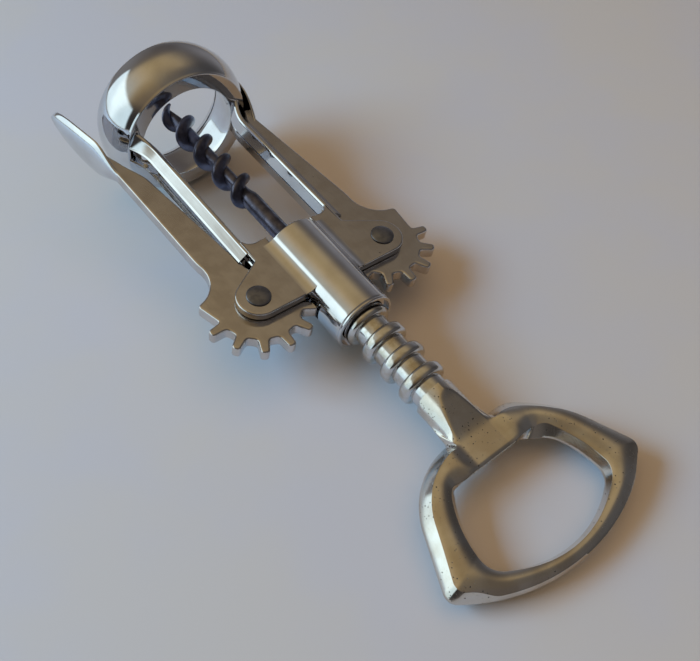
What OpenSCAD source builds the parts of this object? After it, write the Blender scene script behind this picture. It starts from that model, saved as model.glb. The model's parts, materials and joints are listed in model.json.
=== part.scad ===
// Lever corkscrew with two geared levers, a ringed rack, a spinning worm and a loop handle.
// It lies flat: the origin is the centre of the bell's mouth, +Y points out of the mouth
// along the tool's axis, and +Z is square to the flat cheeks of the head.

/* [Bell] */
// Largest outer radius of the bell
bell_r = 21.9; // [20.5:0.1:24]
// Radius of the arc that domes the outside of the bell
bell_dome_r = 14; // [13:0.5:16]
// Distance from the rear rim to the widest place of the bell
bell_belly = 8.5; // [7:0.5:9]
// Length of the bell from its flat rear rim to its mouth
bell_len = 14.9; // [13:0.1:16]
// Radius of the hole in the rear of the bell
bell_rear_r = 14.6; // [13:0.1:16]
// Inner radius of the mouth at the start of its flared lip
bell_mouth_r = 17.2; // [16.5:0.1:17.6]

/* [Head] */
// Distance from the mouth back to the line of the two lever pivots
pivot_to_mouth = 77.5; // [74:0.5:82]
// Distance of each lever pivot from the tool's axis
pivot_x = 19.9; // [19.5:0.1:20.4]
// Half the thickness of the head over both cheeks
head_z = 4.3; // [4:0.1:5]
// Half the width of the slot that the levers turn in
slot_z = 2; // [1.9:0.1:2.4]
// Radius of the ear round each rivet
ear_r = 5.7; // [5:0.1:7]
// Outer radius of the collar that guides the rack
collar_r = 8.4; // [8:0.1:9.5]
// End of the collar on the handle's side of the pivots
collar_back = 18.1; // [16:0.1:20]
// End of the collar on the bell's side of the pivots
collar_front = 12.9; // [12:0.1:14]

/* [Legs] */
// Distance from the tool's axis to the parting ridge along the inside of a leg
leg_in = 12.5; // [12.2:0.1:12.8]
// Distance from the tool's axis to the outer edge of a leg's flanges
leg_out = 16.7; // [16:0.1:17.5]
// Half the height of a leg
leg_z = 4.15; // [3.8:0.05:4.3]

/* [Levers] */
// Thickness of the lever plate
lever_t = 3.4; // [3:0.1:3.6]
// Teeth that a whole turn of the gear would have
teeth_per_turn = 13; // [13:1:13]
// Distance from one rack ring to the next
ring_pitch = 6.91; // [6.8:0.01:7]
// Radius over the tips of the teeth
tooth_tip_r = 14.9; // [14.6:0.1:15]
// Width of a tooth near its tip
tooth_w = 2.5; // [2.2:0.1:2.8]
// How far the left lever stands open at rest, in degrees
left_ajar = 6.7; // [0:0.1:10]
// Distance from the pivot to the tip of the paddle
paddle_tip = 87; // [80:1:90]
// Radius that the right paddle is bowed to, outwards round the bell
right_bow_r = 32.5; // [30:0.5:36]
// Radius that the left paddle is bowed to: it is bent nearly straight
left_bow_r = 105; // [90:1:120]
// Widest part of the paddle
paddle_w = 11.6; // [9:0.2:12]

/* [Rack, worm and rivets] */
// Radius over the rings of the rack
ring_r = 6.3; // [6.2:0.05:6.5]
// Radius of the rack between its rings
rack_root_r = 4.6; // [4.2:0.1:4.8]
// Radius of the worm's straight shank
shank_r = 2.6; // [2.5:0.1:3]
// Outer radius of the worm's spiral
worm_r = 4.2; // [3.8:0.1:4.4]
// Distance from one turn of the worm to the next
worm_pitch = 9.2; // [8.8:0.1:9.6]
// Radius of the rivet shank that a lever turns on
rivet_r = 2.2; // [2:0.1:2.6]
// Radius of the domed rivet head
rivet_head_r = 3.1; // [2.8:0.1:3.6]

/* [Handle] */
// Distance from the pivots to the far end of the handle
handle_end = 92.6; // [91:0.1:94]
// Radius of the handle's shoulders
handle_shoulder_r = 20.2; // [19.5:0.1:20.8]
// Radius of the handle's two outer corners
handle_corner_r = 3; // [2:0.1:4]
// Half the thickness of the loop in the middle of its bars
handle_z = 3.7; // [3.4:0.1:4]
// Turn of the handle about the tool's axis at rest, in degrees
handle_turn = -5.2; // [-10:0.1:10]

/* [Hidden] */
$fn = 64;

run_gap = 0.05;      // radial clearance of a part that turns or slides on another
fixed_gap = 0.01;    // radial clearance of a part that is held tight
play = 0.3;          // clearance round the swept teeth
tiny = 0.01;

// Everything is drawn with the pivots on y = 0, then moved so that the mouth is there.
bell_rear_y = pivot_to_mouth - bell_len;

pitch_r = ring_pitch * teeth_per_turn / (2 * PI);
tooth_step = 360 / teeth_per_turn;
root_r = tooth_tip_r - 4.2;
sweep_r = tooth_tip_r + play;

// Angles run from +Y outwards about the pivot. Both levers have a tooth in the same gap
// between two rings, one each side of the gap's centre, because the mesh has some play.
mesh_angle = 263;
right_tooth_angle = mesh_angle + 2.5;
left_tooth_angle = mesh_angle - 2.5;
teeth_kept = [-6 : 1];
mesh_y = pitch_r * cos(mesh_angle);

// A paddle is a strip bowed to a radius, furthest out at bow_y.
blade_t = 1.8;
bow_y = 72;
left_bow_x = 0.4;
right_bow_x = 3.4;
wrist_y = 60.5;

ring_count = 7;
ring_edge_r = 1.45;
front_ring_y = mesh_y + ring_pitch / 2;
rack_front_y = 6;
rack_back_y = -43.6;
shoulder_r = 4;
shoulder_len = 1.5;
shank_front_y = 31;
shank_back_y = -54;
worm_tip_y = 75.8;
worm_core_r = 1.7;
worm_start_a = 141;  // where the spiral leaves the shank, from +Z towards +X

// Shoulder and end of the handle are arcs; a flaring straight side joins them.
neck_back_y = -55.5;
shoulder_centre = [6, -75.7];
side_a = 23.5;
end_r = 48.8;
end_centre = [0, end_r - handle_end];

// The hole has a straight lip, two bowed sides and a round end.
hole_lip_y = -64.5;
hole_side_r = 26.3;
hole_side_centre = [-8, -81];
hole_end_r = 29;
hole_end_centre = [0, -59.7];
hole_corner_r = 5;

module from_mouth() translate([0, -pivot_to_mouth, 0]) children();

// Turns a shape drawn along +Z so that it lies along +Y from y.
module along_y(y) translate([0, y, 0]) rotate([-90, 0, 0]) children();

function arc(c, r, from, to, steps) =
    [for (i = [0 : steps]) let (a = from + (to - from) * i / steps) c + r * [cos(a), sin(a)]];

function angle_of(v) = atan2(v[1], v[0]);

// The outline for x > 0, followed by its own mirror image.
function mirrored(half) = concat(half, [for (i = [len(half) - 1 : -1 : 0]) [-half[i][0], half[i][1]]]);

// ---- frame casting: bell, legs, cheeks and collar ----

module bell() {
    dome_centre = [bell_r - bell_dome_r, bell_belly];
    rear_a = -asin(bell_belly / bell_dome_r);
    mouth_a = asin((bell_len - bell_belly) / bell_dome_r);
    lip = 1.7;
    lip_len = 2.5;
    straight = 3;
    color("silver") from_mouth() along_y(bell_rear_y) rotate_extrude()
        polygon(concat([[bell_rear_r, straight], [bell_rear_r, 0]],
                       arc(dome_centre, bell_dome_r, rear_a, mouth_a, 14),
                       [[bell_mouth_r + lip, bell_len], [bell_mouth_r, bell_len - lip_len]]));
}

// The space that a lever's gear sweeps, between the cheeks.
module gear_room() {
    for (side = [-1, 1])
        translate([side * pivot_x, 0, -slot_z]) cylinder(r = sweep_r, h = 2 * slot_z);
}

// Section of a leg: a channel open to the outside, with a ridge inside and sloped flanges.
module leg_section() {
    top_in = leg_in + 0.9;
    top_out = leg_in + 2.2;
    floor_x = leg_in + 1.7;
    land = 0.2;
    upper = [[top_in, leg_z], [top_out, leg_z], [leg_out, slot_z + land],
             [leg_out, slot_z], [floor_x, slot_z]];
    lower = [for (i = [len(upper) - 1 : -1 : 0]) [upper[i][0], -upper[i][1]]];
    polygon(concat([[leg_in, 0]], upper, lower));
}

// At the bell a solid foot closes the channel, and at the head a heel reaches in to the
// collar and closes the window between the legs.
module leg(side) {
    leg_back_y = 9.3;
    flange_back_y = 12.9;
    flange_in = 14.6;
    foot_len = 3;
    lean = 6;
    window_y = 15;
    window_r = 3;
    corner_x = leg_in + 0.5 - window_r;
    color("silver") from_mouth() mirror([side < 0 ? 1 : 0, 0, 0]) difference() {
        union() {
            translate([0, bell_rear_y, 0]) rotate([90, 0, 0])
                linear_extrude(bell_rear_y - leg_back_y) leg_section();
            translate([leg_in + 1, bell_rear_y - foot_len, -slot_z])
                cube([leg_out - leg_in - 1, foot_len, 2 * slot_z]);
            translate([collar_r - 1, leg_back_y, -leg_z])
                cube([leg_in + 2.2 - collar_r, window_y + window_r - leg_back_y, 2 * leg_z]);
        }
        translate([corner_x, window_y + window_r, -head_z]) cylinder(r = window_r, h = 2 * head_z);
        translate([0, window_y, -head_z]) cube([corner_x, window_r + tiny, 2 * head_z]);
        for (z = [-head_z, slot_z])
            translate([flange_in, 0, z]) cube([5, flange_back_y, head_z - slot_z]);
        along_y(bell_rear_y - lean) cylinder(r1 = leg_in, r2 = bell_rear_r, h = lean + tiny);
        along_y(0) cylinder(r = collar_r, h = collar_front);
        along_y(collar_front - tiny) cylinder(r = collar_r - 1, h = 12);
        gear_room();
        for (face = [-1, 1]) translate([0, 0, face * (head_z + slot_z) / 2]) cheek_outline(tiny);
    }
}

// Outline of the two ears. The far edge runs from each ear to the foot of the leg.
module cheek_outline(grow = 0) {
    foot = [15, 9.3];
    far = [foot[0] - pivot_x, foot[1]];
    far_d = norm(far);
    tangent_a = atan2(far[1], far[0]) - acos(ear_r / far_d);
    thick = head_z - slot_z + grow;
    translate([0, 0, -thick / 2]) for (side = [0, 1]) mirror([side, 0, 0]) {
        translate([pivot_x, 0, 0]) cylinder(r = ear_r, h = thick);
        linear_extrude(thick) polygon([
            [0, -ear_r], [pivot_x, -ear_r], [pivot_x, 0],
            [pivot_x + ear_r * cos(tangent_a), ear_r * sin(tangent_a)],
            foot, [foot[0], foot[1] + 1.5], [0, foot[1] + 1.5]]);
    }
}

module cheeks(face) {
    color("silver") from_mouth() translate([0, 0, face * (head_z + slot_z) / 2]) difference() {
        cheek_outline();
        translate([0, 0, -face * (head_z + slot_z) / 2]) along_y(-20) cylinder(r = collar_r, h = 40);
        for (side = [-1, 1]) translate([side * pivot_x, 0, -5])
            cylinder(r = rivet_r + fixed_gap, h = 10);
    }
}

module collar() {
    recess_r = 7.4;
    recess = 1.6;
    color("silver") from_mouth() difference() {
        along_y(-collar_back) cylinder(r = collar_r, h = collar_back + collar_front);
        along_y(-collar_back - 1) cylinder(r = ring_r + run_gap, h = collar_back + collar_front + 2);
        along_y(-collar_back - 1) cylinder(r = recess_r, h = recess + 1);
        gear_room();
    }
}

// ---- levers ----

// A tooth along +Y: wider at its root, with a round tip.
module tooth() {
    tip = 1;
    root_half = tooth_w / 2 + 0.5;
    polygon([[-root_half, root_r - 1.5], [-root_half, root_r], [-tooth_w / 2, tooth_tip_r - tip],
             [tip - tooth_w / 2, tooth_tip_r], [tooth_w / 2 - tip, tooth_tip_r],
             [tooth_w / 2, tooth_tip_r - tip], [root_half, root_r], [root_half, root_r - 1.5]]);
    for (s = [-1, 1]) translate([s * (tooth_w / 2 - tip), tooth_tip_r - tip]) circle(r = tip);
}

// Right lever with its pivot on the origin and its arm along +Y: x is outwards.
module lever_plate(tooth_angle, bow_r, bow_x) {
    arm_in = -5.4;
    foot = [3.6, 20];
    waist = [0.4, 52];
    wrist_x = bow_x - pow(bow_y - wrist_y, 2) / (2 * bow_r);
    wrist = [wrist_x + blade_t / 2, wrist_y];
    wrist_in = [wrist_x - blade_t / 2, wrist_y - 0.5];
    shoulder = [11.8, 7.4];
    blend_r = 8.7;
    linear_extrude(lever_t, center = true) difference() {
        union() {
            circle(r = root_r);
            for (k = teeth_kept) rotate(-tooth_angle - k * tooth_step) tooth();
            difference() {
                polygon([[arm_in, 0], [arm_in, waist[1]], wrist_in, wrist, waist, foot,
                         [shoulder[0], 12], shoulder, [8, 0]]);
                translate([foot[0] + blend_r, foot[1] - 3]) circle(r = blend_r);
            }
        }
        circle(r = rivet_r + run_gap);
    }
}

// A thin leaf: a strip bowed outwards round the bell, cut to a leaf seen from the side.
module paddle(bow_r, bow_x) {
    start_y = 57;
    leaf_y = 67;
    root_w = lever_t / 2;
    half_w = paddle_w / 2;
    widening = [for (i = [0 : 8]) let (t = i / 8)
        [start_y + (leaf_y - start_y) * t, root_w + (half_w - root_w) * (1 - cos(180 * t)) / 2]];
    rounding = [for (i = [1 : 8])
        [leaf_y + (paddle_tip - leaf_y) * sin(90 * i / 8), half_w * cos(90 * i / 8)]];
    edge = concat(widening, rounding);
    other_edge = [for (i = [len(edge) - 2 : -1 : 0]) [edge[i][0], -edge[i][1]]];
    intersection() {
        translate([bow_x - bow_r, bow_y, -half_w]) difference() {
            cylinder(r = bow_r + blade_t / 2, h = paddle_w);
            translate([0, 0, -1]) cylinder(r = bow_r - blade_t / 2, h = paddle_w + 2);
        }
        translate([-10, 0, 0]) rotate([90, 0, 90]) linear_extrude(20)
            polygon(concat(edge, other_edge));
    }
}

module lever(side) {
    ajar = side < 0 ? left_ajar : 0;
    bow_r = side < 0 ? left_bow_r : right_bow_r;
    bow_x = side < 0 ? left_bow_x : right_bow_x;
    tooth_angle = side < 0 ? left_tooth_angle - left_ajar : right_tooth_angle;
    color("silver") from_mouth() mirror([side < 0 ? 1 : 0, 0, 0])
        translate([pivot_x, 0, 0]) rotate(-ajar) {
            lever_plate(tooth_angle, bow_r, bow_x);
            paddle(bow_r, bow_x);
        }
}

module rivet(side) {
    head_h = 0.9;
    cap_r = (rivet_head_r * rivet_head_r + head_h * head_h) / (2 * head_h);
    color("dimgray") from_mouth() translate([side * pivot_x, 0, 0]) {
        translate([0, 0, -head_z]) cylinder(r = rivet_r, h = 2 * head_z);
        for (face = [0, 1]) mirror([0, 0, face]) intersection() {
            translate([0, 0, head_z + head_h - cap_r]) sphere(r = cap_r);
            translate([0, 0, head_z]) cylinder(r = rivet_head_r, h = head_h);
        }
    }
}

// ---- rack, worm and handle ----

module rack_sleeve() {
    color("silver") from_mouth() difference() {
        union() {
            along_y(rack_back_y) cylinder(r = rack_root_r, h = rack_front_y - rack_back_y);
            for (k = [0 : ring_count - 1]) along_y(front_ring_y - k * ring_pitch)
                rotate_extrude() {
                    translate([ring_r - ring_edge_r, 0]) circle(r = ring_edge_r);
                    translate([shank_r + 1, -ring_edge_r])
                        square([ring_r - ring_edge_r - shank_r - 1, 2 * ring_edge_r]);
                }
        }
        along_y(rack_back_y - 1) cylinder(r = shank_r + run_gap, h = rack_front_y - rack_back_y + 2);
    }
}

// One step of the spiral is a ring of points round the flange's section, which is a wedge
// from the core out to the rim. The flange grows out of the shank and fades at the tip.
function worm_ring(i, steps, turns) =
    let (t = i / steps,
         a = 360 * turns * t + worm_start_a,
         y = shank_front_y + turns * worm_pitch * t,
         grow = min(1, 8 * t + 0.3, 4 * (1 - t) + 0.12),
         out = worm_core_r + (worm_r - worm_core_r) * grow,
         half = [1.7 * grow, 1.1 * grow, 1.1 * grow, 1.7 * grow],
         radius = [0.3, out, out, 0.3],
         sign = [-1, -1, 1, 1])
    [for (k = [0 : 3]) [radius[k] * sin(a), y + sign[k] * half[k], radius[k] * cos(a)]];

module worm_flange() {
    turns = (worm_tip_y - shank_front_y - 1) / worm_pitch;
    steps = 96;
    points = [for (i = [0 : steps]) each worm_ring(i, steps, turns)];
    sides = [for (i = [0 : steps - 1], k = [0 : 3])
        let (a = 4 * i + k, b = 4 * i + (k + 1) % 4) each [[a, b, b + 4], [a, b + 4, a + 4]]];
    polyhedron(concat(points),
               concat([[3, 2, 1, 0]], sides, [[for (k = [0 : 3]) 4 * steps + k]]));
}

module worm() {
    core_end_y = worm_tip_y - 7;
    color("#2b2a30") from_mouth() {
        along_y(shank_back_y) cylinder(r = shank_r, h = shank_front_y - shank_back_y);
        along_y(rack_front_y + run_gap) cylinder(r = shoulder_r, h = shoulder_len);
        along_y(shank_front_y - tiny) cylinder(r = worm_core_r, h = core_end_y - shank_front_y);
        along_y(core_end_y - 2 * tiny)
            cylinder(r1 = worm_core_r, r2 = 0.2, h = worm_tip_y - core_end_y);
        worm_flange();
    }
}

// The handle's own turn about the tool's axis.
module turned() rotate([0, handle_turn, 0]) children();

// The loop's outline, smaller all round by inset except where the neck joins it.
module loop_outline(inset) {
    r = handle_shoulder_r - inset;
    side = [cos(side_a), sin(side_a)];
    foot = shoulder_centre + (handle_shoulder_r - handle_corner_r) * side;
    reach = end_r - handle_corner_r;
    gap = foot - end_centre;
    along = gap * [side[1], -side[0]];
    slide = -along + sqrt(along * along - gap * gap + reach * reach);
    corner = foot + slide * [side[1], -side[0]];
    corner_a = angle_of(corner - end_centre);
    neck_a = acos((6.5 - shoulder_centre[0]) / r);
    polygon(mirrored(concat(
        [[6.5, neck_back_y]],
        arc(shoulder_centre, r, neck_a, side_a, 8),
        arc(corner, handle_corner_r - inset, side_a, corner_a, 6),
        arc(end_centre, end_r - inset, corner_a, -90, 8))));
}

// The hole's outline, larger all round by grow.
module loop_hole(grow) {
    lip_y = hole_lip_y + grow;
    r = hole_side_r + grow;
    side_reach = hole_side_r - hole_corner_r;
    end_reach = hole_end_r - hole_corner_r;
    between = hole_end_centre - hole_side_centre;
    d = norm(between);
    along = (side_reach * side_reach - end_reach * end_reach + d * d) / (2 * d);
    across = sqrt(side_reach * side_reach - along * along);
    corner = hole_side_centre + (along * between + across * [between[1], -between[0]]) / d;
    lip_a = asin((lip_y - hole_side_centre[1]) / r);
    side_end_a = angle_of(corner - hole_side_centre);
    end_a = angle_of(corner - hole_end_centre);
    polygon(mirrored(concat(
        arc(hole_side_centre, r, lip_a, side_end_a, 6),
        arc(corner, hole_corner_r + grow, side_end_a, end_a, 6),
        arc(hole_end_centre, hole_end_r + grow, end_a, -90, 6))));
}

// The bars are rounded in three steps: each is narrower and thicker than the one before.
module handle_loop() {
    steps = [[0, handle_z - 2.2], [0.9, handle_z - 0.8], [1.9, handle_z]];
    color("silver") from_mouth() turned() for (step = steps)
        linear_extrude(2 * step[1], center = true) difference() {
            loop_outline(step[0]);
            loop_hole(step[0]);
        }
}

module handle_neck() {
    mouth_half = 5.9;
    root_half = 6.4;
    color("silver") from_mouth() turned() difference() {
        hull() {
            along_y(rack_back_y - run_gap - 1) cylinder(r = mouth_half, h = 1, $fn = 48);
            translate([-root_half, neck_back_y, -handle_z]) cube([2 * root_half, 1, 2 * handle_z]);
        }
        along_y(shank_back_y) cylinder(r = shank_r + fixed_gap, h = 20);
    }
}

bell();
leg(-1);  // left_leg
leg(1);  // right_leg
cheeks(1);  // front_cheeks
cheeks(-1);  // back_cheeks
collar();
lever(-1);  // left_lever
lever(1);  // right_lever
rivet(-1);  // left_rivet
rivet(1);  // right_rivet
rack_sleeve();
worm();
handle_neck();
handle_loop();
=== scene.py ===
import json

import bmesh
import bpy
import numpy as np
from mathutils import Matrix
from mathutils.geometry import delaunay_2d_cdt


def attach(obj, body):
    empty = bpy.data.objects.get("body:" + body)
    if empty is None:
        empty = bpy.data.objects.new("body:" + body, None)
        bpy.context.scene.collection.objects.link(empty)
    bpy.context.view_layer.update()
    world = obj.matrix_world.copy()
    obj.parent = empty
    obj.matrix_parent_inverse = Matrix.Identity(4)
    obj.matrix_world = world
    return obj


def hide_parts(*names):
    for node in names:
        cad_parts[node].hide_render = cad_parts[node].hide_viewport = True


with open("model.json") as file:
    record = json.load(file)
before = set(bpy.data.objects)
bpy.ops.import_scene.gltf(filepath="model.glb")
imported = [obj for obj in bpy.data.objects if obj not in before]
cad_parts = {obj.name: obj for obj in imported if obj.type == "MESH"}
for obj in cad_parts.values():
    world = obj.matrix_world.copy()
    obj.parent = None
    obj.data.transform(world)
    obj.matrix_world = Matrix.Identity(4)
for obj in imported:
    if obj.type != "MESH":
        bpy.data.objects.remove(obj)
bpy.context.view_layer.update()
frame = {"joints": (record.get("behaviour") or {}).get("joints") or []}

# Shapes are worked out in millimetres about the head: the origin is on the tool's axis, midway
# between the two lever pivots, +Y points to the bell and +Z is square to the flat cheeks.
pivots = {joint["name"]: joint["pos_m"] for joint in frame["joints"] if "pos_m" in joint}
headY = pivots["left_lever_pivot"][1] * 1000
pivotX = abs(pivots["left_lever_pivot"][0]) * 1000
head = dict(top=4.3, slot=2.0, ear=5.7, collarR=8.4, collarBack=-18.1, collarFront=12.9,
            boreR=6.35, windowY=15.0, windowR=3.0)


def toFrame(points):
    return (np.asarray(points, float) + [0, headY, 0]) / 1000


def smooth(x, start, end):  # 0 before start, 1 after end and an S-curve between them
    t = np.clip((np.asarray(x, float) - start) / (end - start), 0, 1)
    return t * t * (3 - 2 * t)


def arc(centre, radius, fromDeg, toDeg, steps):  # points along an arc, degrees from +X
    a = np.radians(np.linspace(fromDeg, toDeg, steps))
    return np.asarray(centre) + radius * np.stack([np.cos(a), np.sin(a)], -1)


def rounded(corners, trims, steps=6):
    # Each corner becomes a quadratic curve that starts and ends a trim length away from it.
    corners = np.asarray(corners, float)
    trims = np.broadcast_to(np.asarray(trims, float), corners.shape[:-1])[..., None, None]
    before = np.roll(corners, 1, -2) - corners
    after = np.roll(corners, -1, -2) - corners
    before /= np.linalg.norm(before, axis=-1, keepdims=True)
    after /= np.linalg.norm(after, axis=-1, keepdims=True)
    s = np.linspace(0, 1, steps)[:, None]
    middle = corners[..., None, :]
    start = middle + before[..., None, :] * trims
    end = middle + after[..., None, :] * trims
    curve = (1 - s) ** 2 * start + 2 * s * (1 - s) * middle + s ** 2 * end
    return curve.reshape(*corners.shape[:-2], -1, 2)


def grid(points, closeRows=False, closeCols=False, caps=()):
    # Quads between neighbouring rows and columns of points; a cap is one face over an end row.
    rows, cols = points.shape[:2]
    i, j = np.meshgrid(np.arange(rows - (not closeRows)), np.arange(cols - (not closeCols)),
                       indexing="ij")
    nextI, nextJ = (i + 1) % rows, (j + 1) % cols
    quads = np.stack([i * cols + j, nextI * cols + j, nextI * cols + nextJ, i * cols + nextJ], -1)
    ends = {"start": np.arange(cols), "end": np.arange(cols) + (rows - 1) * cols}
    return points.reshape(-1, 3), quads.reshape(-1, 4).tolist() + [ends[c].tolist() for c in caps]


def revolve(profile, axis="y", centre=(0, 0), steps=96):
    # A closed profile of (radius, height) turned about an axis, a step of angle at a time.
    a = np.linspace(0, 2 * np.pi, steps, endpoint=False)[:, None]
    r, h = np.asarray(profile, float).T[:, None, :]
    h = h + 0 * a
    if axis == "y":
        points = np.stack([centre[0] + r * np.sin(a), h, centre[1] + r * np.cos(a)], -1)
    else:
        points = np.stack([centre[0] + r * np.cos(a), centre[1] + r * np.sin(a), h], -1)
    return grid(points, closeRows=True, closeCols=True)


def inset(loop, distance):
    # A closed outline moved inwards along the normals between its two neighbours.
    along = np.roll(loop, -1, 0) - np.roll(loop, 1, 0)
    along /= np.linalg.norm(along, axis=1, keepdims=True)
    area = np.sum(loop[:, 0] * np.roll(loop[:, 1], -1) - loop[:, 1] * np.roll(loop[:, 0], -1))
    return loop + np.sign(area) * distance * np.stack([-along[:, 1], along[:, 0]], -1)


fillWithHoles = 5  # the fill's kind: faces inside the outline, with the holes left open


def plate(outline, low, high, edge, holes=()):
    # A flat plate: a rounded edge profile is carried round the outline and round every hole,
    # and the two flat sides are filled between them.
    a = np.radians(np.linspace(0, 90, 5))
    round_ = edge * (1 - np.sin(a))
    rise = np.concatenate([[low], low + round_[::-1], high - round_, [high]])
    cut = edge * (1 - np.cos(a))
    cut = np.concatenate([[edge + 0.1], cut[::-1], cut, [edge + 0.1]])
    points, faces, count = [], [], 0
    lowLoops, highLoops = [], []
    for number, loop in enumerate([outline, *holes]):
        side = 1 if number == 0 else -1
        rings = np.stack([np.column_stack([inset(loop, side * c), np.full(len(loop), z)])
                          for c, z in zip(cut, rise)])
        p, f = grid(rings, closeCols=True)
        faces += (np.array(f) + count).tolist()
        lowLoops.append(np.arange(len(loop)) + count)
        highLoops.append(np.arange(len(loop)) + count + (len(cut) - 1) * len(loop))
        points.append(p)
        count += len(p)
    points = np.concatenate(points)
    for loops in (lowLoops, highLoops):
        if not holes:
            faces.append(loops[0].tolist())
            continue
        flat = np.concatenate(loops)
        starts = np.cumsum([0] + [len(loop) for loop in loops])
        rims = [list(range(s, e)) for s, e in zip(starts[:-1], starts[1:])]
        filled = delaunay_2d_cdt([tuple(points[k][:2]) for k in flat], [], rims,
                                 fillWithHoles, 1e-6)
        origin = [flat[source[0]] if source else -1 for source in filled[3]]
        if -1 in origin:
            bad = [tuple(round(c, 2) for c in filled[0][k]) for k, o in enumerate(origin) if o < 0]
            raise ValueError("crossing at " + str(bad))
        faces += [[int(origin[k]) for k in face] for face in filled[2]]
    return points, faces


def makePiece(name, parts, look, body, nodes, sharp=38):
    # Joins the parts into one mesh. With a list of looks, each part takes its own.
    points, faces, owner, count = [], [], [], 0
    for number, (p, f) in enumerate(parts):
        points.append(p)
        faces += [[k + count for k in face] for face in f]
        owner += [number] * len(f)
        count += len(p)
    looks = look if isinstance(look, list) else [look]
    mesh = bpy.data.meshes.new(name)
    mesh.from_pydata(toFrame(np.concatenate(points)), [], faces)
    if len(looks) > 1:
        mesh.polygons.foreach_set("material_index", owner)
    work = bmesh.new()
    work.from_mesh(mesh)
    bmesh.ops.remove_doubles(work, verts=work.verts, dist=2e-6)
    bmesh.ops.dissolve_degenerate(work, edges=work.edges, dist=1e-7)
    bmesh.ops.recalc_face_normals(work, faces=work.faces)
    work.to_mesh(mesh)
    work.free()
    mesh.shade_smooth()
    mesh.set_sharp_from_angle(angle=np.radians(sharp))
    for one in looks:
        mesh.materials.append(one)
    piece = bpy.data.objects.new(name, mesh)
    bpy.context.scene.collection.objects.link(piece)
    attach(piece, body)
    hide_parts(*nodes)
    print("made", name, len(mesh.vertices), "vertices")


# Camera: azimuth 0 looks along +Y; the roll turns the picture about the line of sight.
shot = dict(azimuth=-50.572, elevation=51.571, roll=14.632, distance=203.46,
            target=(-4.845, -17.932, 0), lens=42.612)
az, el, roll = np.radians([shot["azimuth"], shot["elevation"], shot["roll"]])
forward = np.array([-np.sin(az) * np.cos(el), np.cos(az) * np.cos(el), -np.sin(el)])
level = np.array([np.cos(az), np.sin(az), 0])
upright = np.cross(level, forward)
right = np.cos(roll) * level + np.sin(roll) * upright
up = np.cos(roll) * upright - np.sin(roll) * level
cameraData = bpy.data.cameras.new("camera")
cameraData.lens = shot["lens"]
cameraData.sensor_width = 36
cameraData.clip_start, cameraData.clip_end = 0.01, 20
camera = bpy.data.objects.new("camera", cameraData)
bpy.context.scene.collection.objects.link(camera)
turn = Matrix(np.column_stack([right, up, -forward]).tolist()).to_4x4()
camera.matrix_world = Matrix.Translation(
    toFrame(np.array(shot["target"]) - shot["distance"] * forward)) @ turn
bpy.context.scene.camera = camera
bpy.context.scene.view_settings.view_transform = "Standard"
print("camera placed")


def color(code, gain=1.0):  # sRGB hex to linear, with an opaque alpha
    parts = np.array([int(code[k:k + 2], 16) for k in (1, 3, 5)]) / 255
    linear = np.where(parts <= 0.04045, parts / 12.92, ((parts + 0.055) / 1.055) ** 2.4)
    return (*(linear * gain).tolist(), 1.0)


def addNode(tree, kind, settings=None, inputs=None):
    item = tree.nodes.new(kind)
    for key, value in (settings or {}).items():
        setattr(item, key, value)
    for key, value in (inputs or {}).items():
        if isinstance(value, bpy.types.NodeSocket):
            tree.links.new(value, item.inputs[key])
        else:
            item.inputs[key].default_value = value
    return item


def direction(azimuth, elevation):  # unit vector, azimuth from +X towards +Y
    a, e = np.radians([azimuth, elevation])
    return np.array([np.cos(e) * np.cos(a), np.cos(e) * np.sin(a), np.sin(e)])


# The room: soft areas of light by azimuth and elevation, each with the colour it shows in chrome.
room = dict(spread=24.0, gain=1.3, areas=[
    (133, 51, "#b39d7a"), (119, 58, "#9e8860"), (99, 63, "#907d5a"), (76, 64, "#92805f"),
    (54, 62, "#aa9470"), (41, 50, "#625a50"), (35, 38, "#494544"), (32, 16, "#757375"),
    (5, 30, "#3a3838"), (-30, 50, "#4a4848"), (-60, 72, "#5e564c"), (170, 52, "#8c7650"),
    (-160, 46, "#6a5d4c"), (-166, 12, "#2f2c2b"), (85, 32, "#5c544c"), (65, 22, "#4a4543"),
    (142, 40, "#9fa6a2"), (-90, 35, "#5a5450"), (45, -8, "#5c5a5c"), (-110, 5, "#454341"),
    (-72, 10, "#403e3d"), (-25, 5, "#4c4948"), (95, 8, "#6c6a6a"), (-135, 12, "#3c3836"),
    (110, 82, "#7d6f58")])
window = dict(azimuth=147, elevation=10, halfWide=0.82, halfHigh=0.36, edge=0.07,
              shine="#dcf4fa", level=1.1, lampElevation=27, distance=800, width=500, height=300,
              power=8.4, tint="#9cceff")
ceiling = dict(height=1300, size=2000, power=9.0, tint="#ffd0a2")

world = bpy.data.worlds.new("room")
bpy.context.scene.world = world
world.use_nodes = True
sky = world.node_tree
sky.nodes.clear()
where = addNode(sky, "ShaderNodeTexCoord").outputs["Generated"]


def vectorMath(operation, first, second, output="Vector"):
    key = "Scale" if operation == "SCALE" else 1
    return addNode(sky, "ShaderNodeVectorMath", {"operation": operation},
                   {0: first, key: second}).outputs[output]


def scalarMath(operation, *values):
    return addNode(sky, "ShaderNodeMath", {"operation": operation},
                   dict(enumerate(values))).outputs[0]


total, weight = None, None
for azimuth, elevation, code in room["areas"]:
    # Weight of an area: e to the power of spread times (cosine of the angle to it minus 1).
    toward = vectorMath("DOT_PRODUCT", where, direction(azimuth, elevation), "Value")
    share = scalarMath("EXPONENT", scalarMath("MULTIPLY_ADD", toward, room["spread"],
                                              -room["spread"]))
    part = vectorMath("SCALE", color(code)[:3], share)
    total = part if total is None else vectorMath("ADD", total, part)
    weight = share if weight is None else scalarMath("ADD", weight, share)
air = vectorMath("SCALE", total, scalarMath("DIVIDE", room["gain"], weight))

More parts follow.
